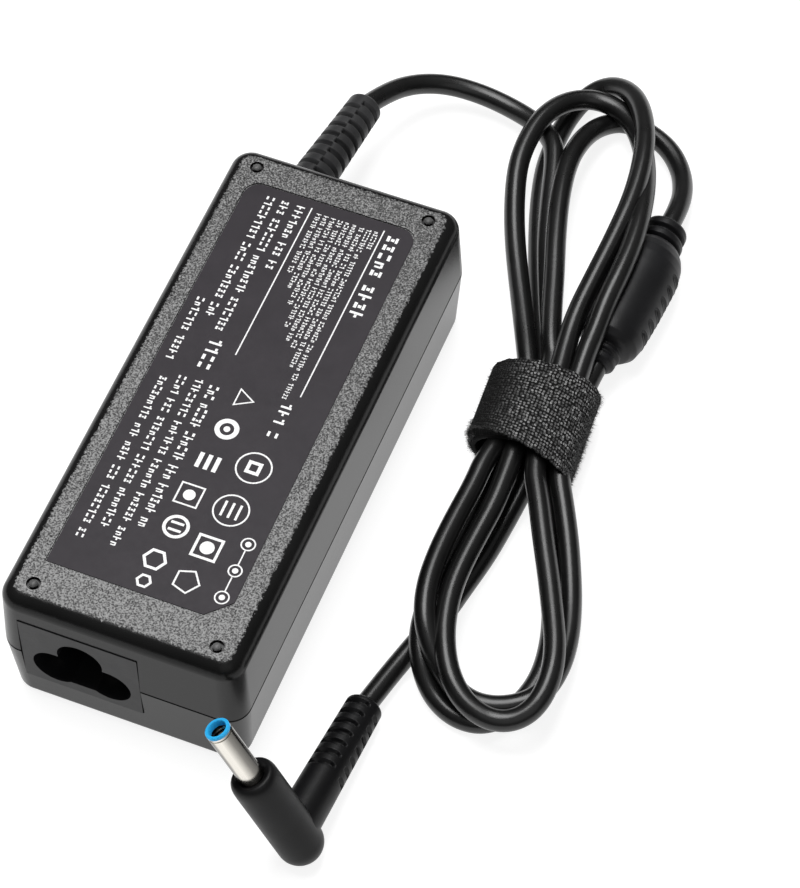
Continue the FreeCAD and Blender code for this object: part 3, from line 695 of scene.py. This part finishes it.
ELBOW = Vector((38.0, -64.8, 4.3))
HEAD_AXIS = Vector((-0.436, 0.019, 0.900))
HEAD_RADIUS = 4.25
HEAD_LENGTH = 19.5
BARREL_RADIUS = 2.25
BARREL_BORE = 1.75
BARREL_LENGTH = 12.7
# painted reflection: the direction that the barrel's painted dark band faces
BARREL_DARK_BAND_SIDE = (0.545, 0.801, 0.247)
CREASE = math.radians(40)  # the barrel's edges that are sharper than this stay crisp
RING_LENGTH = 0.55  # how much of the barrel the blue ring covers at its mouth
BOOT_TIP = Vector(PLUG_ROUTE[-1])
BOOT_RISE = 2.8  # where the boot's axis leaves the head's, up from its foot's centre
BOOT_RADIUS = 4.0
BOOT_TAPER = 0.62  # how much thinner the boot is at its tip
BOOT_GROOVES = 7
BOOT_PITCH = 2.42
BOOT_COLLAR = 1.9  # from the first groove's middle to the tip
BOOT_SLOT_HALF = 0.5
BOOT_SLOT_DEPTH = 0.95
BOOT_STEP = 0.12  # mesh spacing along it
# Where the slots lie round the boot: degrees from the top, half length in degrees, and shift along the boot.
BOOT_SLOTS = [(20, 46, 0.0), (200, 46, 0.0), (-80, 26, 1.21), (112, 30, 1.21)]


def head_profile():
    """Radius and distance along the head, from its domed foot to the dished face round the barrel."""
    dome = [(HEAD_RADIUS * math.sin(a), -HEAD_RADIUS * math.cos(a)) for a in np.radians(range(3, 88, 6))]
    wall = [(HEAD_RADIUS, s) for s in np.linspace(0.2, HEAD_LENGTH - 2.6, 12)]
    face = [
        (4.22, -1.7), (4.14, -1.2), (3.98, -0.75), (3.7, -0.4), (3.4, -0.25), (3.1, -0.28), (2.8, -0.42),
        (2.5, -0.6), (BARREL_RADIUS + 0.01, -0.72), (BARREL_RADIUS + 0.01, -1.2),
    ]
    return dome + wall + [(r, HEAD_LENGTH + s) for r, s in face]


def plug_body(material):
    """The right-angle moulding: a round head for the barrel, and a grooved boot for the cord."""
    head = spun("plug_moulding", ELBOW, HEAD_AXIS, head_profile(), 96)
    root = ELBOW + HEAD_AXIS * BOOT_RISE
    run = BOOT_TIP - root
    length = run.length
    first = length - BOOT_COLLAR

    def radius(s, angle):
        outer = BOOT_RADIUS - BOOT_TAPER * max(0.0, s) / length
        outer -= 0.7 * step(s, length - 1.0, length + 0.1) ** 2
        for i in range(BOOT_GROOVES):
            off = s - first + BOOT_PITCH * i
            if abs(off) < BOOT_PITCH:
                for middle, reach, shift in BOOT_SLOTS:
                    part = turned_by(angle, middle)
                    narrow = BOOT_SLOT_HALF * math.sqrt(max(0.0, 1 - (part / reach) ** 6))
                    if narrow > 0:
                        outer -= BOOT_SLOT_DEPTH * window(off + shift, narrow, 0.1)
        return outer

    stations = [BOOT_STEP * i for i in range(int(length / BOOT_STEP) + 1)] + [length]
    boot = lathe("boot", root, run, stations, 120, radius)
    return finished(united(head, boot), "adapter", material, ["plug_body"])


def plug_tip(nickel, blue):
    """The barrel, with a groove below its mouth, and the thin blue ring that lines and edges the mouth."""
    mouth = HEAD_LENGTH + BARREL_LENGTH
    low = HEAD_LENGTH - 1.19
    rim = mouth - RING_LENGTH - 0.01
    barrel = [
        (BARREL_RADIUS, low), (BARREL_RADIUS, mouth - 1.2), (2.1, mouth - 1.15), (2.1, mouth - 0.95),
        (BARREL_RADIUS, mouth - 0.9), (BARREL_RADIUS, rim), (BARREL_BORE, rim), (BARREL_BORE, low),
    ]
    ring = [
        (1.6, mouth - 1.25), (1.6, mouth - 0.15), (1.7, mouth), (2.12, mouth), (BARREL_RADIUS, mouth - 0.14),
        (BARREL_RADIUS, mouth - RING_LENGTH), (BARREL_BORE - 0.01, mouth - RING_LENGTH),
        (BARREL_BORE - 0.01, mouth - 1.25),
    ]
    made = []
    for name, profile, slot, material, node in (
            ("plug_barrel_turned", barrel, "plug_nickel", nickel, "plug_barrel"),
            ("plug_mouth_ring", ring, "plug_blue", blue, "plug_insulator")):
        piece = spun(name, ELBOW, HEAD_AXIS, list(reversed(profile)), 96, True)
        piece.data.set_sharp_from_angle(angle=CREASE)
        made.append(finished(piece, "adapter", material, [node]))
    return made


# ---- pips

PIP_PLACES = [(x, y) for x in (-17.0, 17.0) for y in (-48.4, 48.4)]
PIP_FLOOR = 30.5  # the height of the housing's flat top
NEARLY_UP = UP + Vector((0, 0.001, 0))  # axes_along() can't tell which way is up for UP itself
PIP_PROFILE = [(0.78, -0.1), (0.78, 0.02), (0.66, 0.2), (0.46, 0.32), (0.24, 0.38), (0.03, 0.4)]


def pips(material):
    """The low domes inside the four ring recesses of the top face."""
    made = [spun("pip", (x, y, PIP_FLOOR), NEARLY_UP, PIP_PROFILE, 24) for x, y in PIP_PLACES]
    return finished(joined("pips", made), "adapter", material)


# ---- strap

STRAP_WIDTH = 16.6
STRAP_TURN = math.radians(3.55)
STRAP_HALF = (10.5, 7.05)
STRAP_THICK = 1.0
TAIL_SPAN = (42.0, -62.0)  # degrees round the outer turn, from +X towards +Z
LOOP = (0.56, 0.50)  # pitch of the knit along and across the strap
CELL = 0.13  # mesh spacing on the outer face
KNIT_ROOT = 0.12  # the loops rise from this far under the strap's full thickness
KNIT_RISE = 0.18
EDGE_DROP = 0.16  # how much thinner the cut edges are
TURN_GAP = 0.04  # between the two turns
FAR_EDGE = -0.7  # how far the outer turn reaches past the inner one at its far edge
LIT_ARC = (66, 28, 56)  # painted light: where the outer turn's knit is painted paler, round its lit top: middle, half width and softness in degrees
FLOOR_GAP = 0.03
FIBRE_THICK = (0.018, 0.035)  # radius at the root
FIBRE_STEPS = 5


def strap_axes():
    """The directions across the hank and along it, towards the near edge of the strap."""
    along = Vector((math.sin(STRAP_TURN), -math.cos(STRAP_TURN), 0))
    across = Vector((math.cos(STRAP_TURN), math.sin(STRAP_TURN), 0))
    return across, along


def skew(angle):
    """How far the outer turn's near edge is drawn towards -Y: forward on the right and back on the left."""
    return 0.7 + 2.6 * math.cos(math.radians(angle - 10))


def frayed(angle):
    """The small unevenness of the strap's cut edges."""
    t = math.radians(angle)
    return 0.1 * math.sin(19 * t) + 0.05 * math.sin(37 * t + 1) + 0.03 * math.sin(71 * t + 2)


def lifted(point):
    """Keeps a point of the strap just above the floor."""
    return Vector((point.x, point.y, max(point.z, FLOOR_GAP)))


def strap_point(angle, height, share):
    """A point on the strap: degrees round, height above the middle of its outer turn's inner face, and the
    share of its width from the far edge (0) to the near edge (1)."""
    across, along = strap_axes()
    t = math.radians(angle)
    half = [h - STRAP_THICK + height for h in STRAP_HALF]
    low = FAR_EDGE if height > 0 else 0.0
    high = skew(angle) if height > 0 else 0.0
    reach = -STRAP_WIDTH / 2 + low + share * (STRAP_WIDTH - low + high)
    if height > 0:
        reach += frayed(angle) * (2 * share - 1) ** 5
    middle = Vector((*TIE_MIDDLE, STRAP_HALF[1]))
    point = middle + across * (half[0] * math.cos(t)) + UP * (half[1] * math.sin(t)) + along * reach
    return lifted(point)


def hashed(i, j):
    """A repeatable number from 0 to 1 for a pair of whole numbers."""
    value = math.sin(i * 12.9898 + j * 78.233) * 43758.5453
    return value - math.floor(value)


def knit(s, w):
    """Height from 0 to 1 of the knit at a place on the strap, in millimetres."""
    u = s / LOOP[0]
    v = w / LOOP[1]
    row = math.floor(v)
    u += 0.5 * (row % 2)
    cell = (math.floor(u), row)
    lean = 0.25 * (hashed(*cell) - 0.5)
    across = math.sin(math.pi * (v - row))
    along = math.sin(math.pi * (u - cell[0] + lean * (v - row - 0.5)))
    return max(0.0, across) ** 0.8 * max(0.0, along) ** 0.8


def layer(name, start, end, inner, outer, knitted):
    """One layer of strap, from one angle to another, between two heights, with loops on its outer face if
    it's knitted. All the way round, it's a closed band."""
    radius = sum(STRAP_HALF) / 2
    length = math.radians(abs(end - start)) * radius
    columns = max(24, int(length / (CELL if knitted else 0.5)))
    rows = int(STRAP_WIDTH / (CELL if knitted else 0.5))
    full = abs(end - start) >= 360
    count = columns + (0 if full else 1)
    points = []
    weave = []
    for top in (True, False):
        for i in range(count):
            angle = start + (end - start) * i / columns
            for j in range(rows + 1):
                share = j / rows
                height = outer if top else inner
                s, w, lit_share = length * i / columns, STRAP_WIDTH * share, 0.0
                if top and knitted:
                    whole = step(share, 0, 0.02) * (1 - step(share, 0.98, 1))
                    height += KNIT_RISE * knit(s, w) * whole - EDGE_DROP * (1 - whole)
                    # painted light: the knit is painted paler round the lit top of the outer turn, and dimmer
                    # towards its cut edges
                    lit_share = (0.3 + 0.7 * whole) * (0.2 + 0.8 * window(angle - LIT_ARC[0], *LIT_ARC[1:]))
                points.append(strap_point(angle, height, share))
                weave += [s, w, lit_share]
    back = count * (rows + 1)
    faces = []
    for i in range(columns):
        k = (i + 1) % count
        for j in range(rows):
            a, b = i * (rows + 1) + j, k * (rows + 1) + j
            faces.append((a, b, b + 1, a + 1))
            faces.append((back + a, back + a + 1, back + b + 1, back + b))
        a, b = i * (rows + 1), k * (rows + 1)
        faces.append((a, back + a, back + b, b))
        faces.append((a + rows, b + rows, back + b + rows, back + a + rows))
    if not full:
        for i, flip in ((0, False), (columns, True)):
            for j in range(rows):
                a = i * (rows + 1) + j
                quad = (a, a + 1, back + a + 1, back + a)
                faces.append(tuple(reversed(quad)) if flip else quad)
    made = new_mesh(name, points, faces)
    made.data.attributes.new("weave", "FLOAT_VECTOR", "POINT").data.foreach_set("vector", weave)
    return made


def joined(name, pieces):
    """One object from several."""
    graph = bmesh.new()
    for piece in pieces:
        graph.from_mesh(piece.data)
    mesh = bpy.data.meshes.new(name)
    graph.to_mesh(mesh)
    graph.free()
    for piece in pieces:
        bpy.data.objects.remove(piece)
    return linked(name, mesh)


def fibres(name, count, spans, lengths, seed):
    """Stray curled fibres on the strap. Each span is a range of degrees, a range of the share of the width,
    and the height that the fibres grow from."""
    dice = random.Random(seed)
    points = []
    faces = []
    for _ in range(count):
        (low, high), (near, far), level = dice.choice(spans)
        angle = dice.uniform(low, high)
        share = dice.uniform(near, far)
        root = strap_point(angle, level, share)
        out = (strap_point(angle, level + 1, share) - strap_point(angle, level + 0.01, share)).normalized()
        drift = Vector([dice.gauss(0, 1) for _ in range(3)])
        reach = dice.uniform(*lengths)
        if share > 0.9:
            out = (out + strap_axes()[1] * dice.uniform(0, 1.6)).normalized()
        thick = dice.uniform(*FIBRE_THICK)
        side = out.orthogonal().normalized()
        other = out.cross(side)
        base = len(points)
        for k in range(FIBRE_STEPS + 1):
            f = k / FIBRE_STEPS
            here = root + out * (reach * f * (1 - 0.35 * f)) + drift * (0.3 * reach * f * f)
            for corner in range(3):
                t = 2 * math.pi * corner / 3
                rib = (side * math.cos(t) + other * math.sin(t)) * thick * (1 - 0.7 * f)
                points.append(lifted(here + rib))
        for k in range(FIBRE_STEPS):
            for corner in range(3):
                a, b = base + 3 * k + corner, base + 3 * k + (corner + 1) % 3
                faces.append((a, b, b + 3, a + 3))
        faces.append((base + 2, base + 1, base))
        tip = base + 3 * FIBRE_STEPS
        faces.append((tip, tip + 1, tip + 2))
    return new_mesh(name, points, faces)


def strap(material, dark_fuzz, sheen_fuzz):
    """The hook-and-loop tie: one full inner turn, the fixed part of the outer turn, and the free end."""
    face = STRAP_THICK - KNIT_ROOT
    inner = layer("inner_turn", 0, 360, -STRAP_THICK, -TURN_GAP, False)
    outer = layer("outer_turn", TAIL_SPAN[0], 360 + TAIL_SPAN[1], 0.0, face, True)
    turns = joined("strap_turns", [inner, outer])
    tail = layer("strap_free_end", TAIL_SPAN[0] - 0.3, TAIL_SPAN[1] + 0.5, 0.0, face, True)
    fuzz = fibres(
        "strap_fuzz", 2600,
        [((165, 235), (0.8, 1.0), STRAP_THICK), ((150, 235), (0.88, 1.0), 0.0), ((165, 238), (0.9, 1.0), 0.0),
         ((60, 230), (0.0, 1.0), STRAP_THICK), ((60, 230), (0.96, 1.0), STRAP_THICK)],
        (0.3, 1.2), 11)
    # painted sheen: the free end's fringe is given a paler copy of the same fibre
    fringe = fibres(
        "strap_free_end_fuzz", 2400,
        [((-55, 40), (0.0, 1.0), STRAP_THICK), ((-40, 22), (0.0, 1.0), STRAP_THICK),
         ((-40, 25), (0.3, 1.0), STRAP_THICK)],
        (0.35, 1.0), 5)
    finished(turns, "adapter", material, ["tie_wrap"])
    finished(fuzz, "adapter", dark_fuzz)
    start = strap_point(TAIL_SPAN[0], 0.5, 0.5)
    end = strap_point(TAIL_SPAN[0] - 22, 0.5, 0.5)
    for piece, stuff in ((tail, material), (fringe, sheen_fuzz)):
        piece.data.materials.append(stuff)
        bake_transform(piece)
    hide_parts("tie_tail")
    return [turns, tail]


# ---- label print

INK = 0.03  # how far the print stands above the film
ROUND_SIDES = 36  # of a shape that looks round

# Meaningless strokes the size of a letter: place up it, place along it, height and width, as shares of it.
STROKES = [
    [(0.0, 0.0, 1.0, 0.24), (0.0, 0.28, 0.2, 0.3)],
    [(0.36, 0.0, 0.24, 0.62), (-0.36, 0.0, 0.24, 0.62)],
    [(-0.14, 0.0, 0.7, 0.24), (0.12, 0.28, 0.2, 0.32), (-0.14, 0.46, 0.5, 0.2)],
    [(0.0, 0.36, 1.0, 0.24), (0.3, 0.0, 0.2, 0.32)],
    [(0.3, 0.0, 0.2, 0.6), (0.0, 0.2, 0.26, 0.3), (-0.34, 0.0, 0.24, 0.6)],
]


class Print:
    """Flat raised shapes on the label, gathered into one mesh."""

    def __init__(self, z):
        self.z = z
        self.points = []
        self.faces = []
        self.dice = random.Random(3)

    def shape(self, outline, hole=None):
        """A closed plate from an outline of x, y points, with a hole of as many points if one is given."""
        n = len(outline)
        rings = [outline] if hole is None else [outline, hole]
        base = len(self.points)
        for z in (self.z, self.z + INK):
            for ring in rings:
                self.points += [(x, y, z) for x, y in ring]
        layer_size = n * len(rings)
        for r in range(len(rings)):
            for i in range(n):
                a, b = base + r * n + i, base + r * n + (i + 1) % n
                quad = (a, b, b + layer_size, a + layer_size)
                self.faces.append(quad if r == 0 else tuple(reversed(quad)))
        if hole is None:
            self.faces.append(tuple(base + layer_size + i for i in range(n)))
            self.faces.append(tuple(base + i for i in reversed(range(n))))
        else:
            for i in range(n):
                j = (i + 1) % n
                a, b = base + layer_size + i, base + layer_size + j
                self.faces.append((a, b, b + n, a + n))
                a, b = base + i, base + j
                self.faces.append((b, a, a + n, b + n))

    def bar(self, x, y, across, down):
        """A bar that starts at y and runs towards -Y, centred on x."""
        left, right = x - across / 2, x + across / 2
        self.shape([(left, y), (left, y - down), (right, y - down), (right, y)])

    def words(self, x, y, height, length, letter):
        """A line of meaningless strokes, in groups of uneven length that stand for words."""
        end = y - length
        while y > end + letter:
            word = min(letter * self.dice.randint(2, 9), y - end)
            place = y
            while place > y - word + 0.3 * letter:
                for across, along, tall, wide in self.dice.choice(STROKES):
                    self.bar(x + across * height, place - along * letter, tall * height, wide * letter)
                place -= letter
            y -= word + letter * 0.8

    def plate(self, x, y, outer, inner=0.0, corners=ROUND_SIDES, turn=0):
        """A regular shape, round unless it's given its corners, with a hole if there's an inner radius."""
        turns = [math.radians(turn + 360 * i / corners) for i in range(corners)]
        outline, hole = ([(x + r * math.cos(a), y + r * math.sin(a)) for a in turns] for r in (outer, inner))
        self.shape(outline, hole if inner else None)


FINE_LINES = (4.4, 40.0, 33.5, 30.5, 28.5, 25.5, 21.5, 17.5, 14.5)  # their lengths
FINE_PITCH = 1.42
# Place across, place where the line starts, length and height.
LOWER_LINES = (
    (-4.6, 0.4, 33.6, 1.9), (-7.6, 0.8, 37.4, 1.5), (-10.7, 0.4, 34.0, 1.5), (-13.8, -1.0, 36.0, 1.5),
)


def label_print(material):
    """Generic print laid out like a rating label: strokes for words, plain shapes for symbols."""
    ink_on = Print(millimetres("rating_label")[1].z)
    ink_on.words(12.6, 42.6, 2.5, 20.6, 2.05)
    ink_on.bar(10.35, 43.4, 0.24, 39.6)
    for i, length in enumerate(FINE_LINES):
        ink_on.words(9.2 - FINE_PITCH * i, 42.6, 0.95, length, 0.62)
    ink_on.bar(-3.9, 43.4, 0.24, 35.4)
    for x, length in ((-5.9, 15.2), (-8.9, 31.0), (-11.8, 29.4)):
        ink_on.words(x, 43.0, 1.6, length, 1.15)
    ink_on.words(-8.2, 9.8, 2.4, 6.0, 1.8)
    ink_on.words(-14.6, 17.4, 1.5, 15.4, 1.15)
    ink_on.words(8.9, 1.6, 2.0, 8.4, 1.7)
    for x, start, length, height in LOWER_LINES:
        ink_on.words(x, start, height, length, 1.1)
    symbols(ink_on)
    made = new_mesh("label_print", ink_on.points, ink_on.faces)
    for face in made.data.polygons:
        face.use_smooth = False
    return finished(made, "adapter", material)


def symbols(ink_on):
    """Plain rings, frames, bars and dots, in two columns, and a row of linked rings."""
    for row in (
            (1.0, -0.2, 2.3, 1.8, 3), (1.0, -7.2, 2.2, 1.3), (1.0, -7.2, 0.6), (0.4, -22.2, 3.2, 2.75, 4, 45),
            (0.4, -22.2, 1.1), (0.9, -29.0, 2.4, 1.8), (0.2, -36.4, 2.3, 1.7, 6), (0.2, -41.0, 1.5, 1.0, 6),
            (8.6, -13.0, 3.3, 3.0), (8.6, -13.0, 1.9, 1.0, 4, 45), (8.4, -22.5, 3.3, 3.0),
            (7.6, -31.0, 3.4, 2.7, 4, 45), (7.6, -31.0, 1.3), (7.0, -38.4, 2.6, 2.2, 5)):
        ink_on.plate(*row)
    for i in range(3):
        ink_on.bar(-0.9 + 1.6 * i, -13.2, 0.8, 3.2)
        ink_on.bar(7.0 + 1.4 * i, -20.9, 0.45, 3.2)
    for y in (-28.0, -29.5):
        ink_on.bar(0.9, y, 2.4, 0.5)
    for y, outer in ((-27.8, 1.35), (-33.5, 1.3), (-39.2, 1.35)):
        ink_on.plate(13.9, y, outer, outer - 0.26)
        ink_on.plate(13.9, y, 0.55)
    for y in (-29.2, -34.9):
        ink_on.bar(13.9, y, 0.24, 3.0)


# ---- floor and light

FLOOR_REACH = 1500.0
FLOOR_DROP = 0.02  # keeps the floor clear of the pieces that stand on it


def floor():
    """A white floor that glows a little, so that it's evenly white in the picture."""
    corners = [(-1, -1), (1, -1), (1, 1), (-1, 1)]
    points = [(x * FLOOR_REACH, y * FLOOR_REACH, -FLOOR_DROP) for x, y in corners]
    made = new_mesh("floor", points, [(0, 1, 2, 3)])
    pale = Finish("floor")
    pale.set(Base_Color=pale.ramp(pale.noise(300.0, 2.0), (0.3, 0.33), (0.7, 0.35)))
    pale.set(Roughness=pale.between(pale.noise(80.0, 2.0), 0.85, 0.95))
    pale.set(Emission_Color=(1, 1, 1, 1), Emission_Strength=0.85, Specular_IOR_Level=0.1)
    made.data.materials.append(pale.material)


def softbox(name, place, aim, size, power):
    """A rectangular light, in metres and watts, turned to a point."""
    data = bpy.data.lights.new(name, "AREA")
    data.shape = "RECTANGLE"
    data.size, data.size_y = size
    data.energy = power
    made = linked(name, data)
    made.location = place
    made.rotation_euler = (Vector(aim) - Vector(place)).to_track_quat("-Z", "Y").to_euler()


def studio():
    """Soft boxes overhead, behind and in front, and a room that is dark below and pale overhead."""
    softbox("overhead", (-0.17, 0.20, 0.95), (-0.17, 0.20, 0), (0.5, 0.66), 8)
    softbox("behind", (-0.09, 0.79, 0.95), (-0.09, 0.79, 0), (0.32, 0.50), 1.7)
    softbox("front", (0.55, -0.8, 1.1), (0.02, 0.02, 0), (1.3, 1.1), 1.5)
    world = bpy.data.worlds.new("room")
    bpy.context.scene.world = world
    world.use_nodes = True
    nodes, links = world.node_tree.nodes, world.node_tree.links
    way = nodes.new("ShaderNodeTexCoord")
    height = nodes.new("ShaderNodeSeparateXYZ")
    links.new(way.outputs["Generated"], height.inputs[0])
    ramp = nodes.new("ShaderNodeValToRGB")
    for element, (at, grey) in zip(ramp.color_ramp.elements, ((0.15, 0.03), (0.95, 0.30))):
        element.position = at
        element.color = (grey, grey, grey, 1)
    links.new(height.outputs["Z"], ramp.inputs[0])
    links.new(ramp.outputs[0], nodes["Background"].inputs["Color"])
    bpy.context.scene.view_settings.view_transform = "Standard"


# ---- all of it

def main():
    """Paints the CAD model's own nodes, then makes every visible piece, the floor and the lights."""
    paint = finishes()
    slots = {row["node"]: row["material_slot"] for row in frame["record"]["subparts"]}
    for name, node in NODES.items():
        node.data.materials.clear()
        node.data.materials.append(paint[slots[name]])
    relief = strain_relief(paint["relief_pvc"])
    bead = ferrite_bead(paint["bead_cover_pvc"])
    moulding = plug_body(paint["plug_pvc"])
    tip = plug_tip(paint["plug_nickel"], paint["plug_blue"])
    pips(paint["pip_plastic_painted_highlight"])
    # painted sheen: the free end's fibres are a paler copy of the dark fibre
    ties = strap(paint["tie_fabric"], fibre("dark_fibre", 0.006, 0.04), fibre("painted_sheen_fibre", 0.02, 0.11))
    label_print(ink())
    cord(paint["cord_pvc"])
    floor()
    studio()


main()
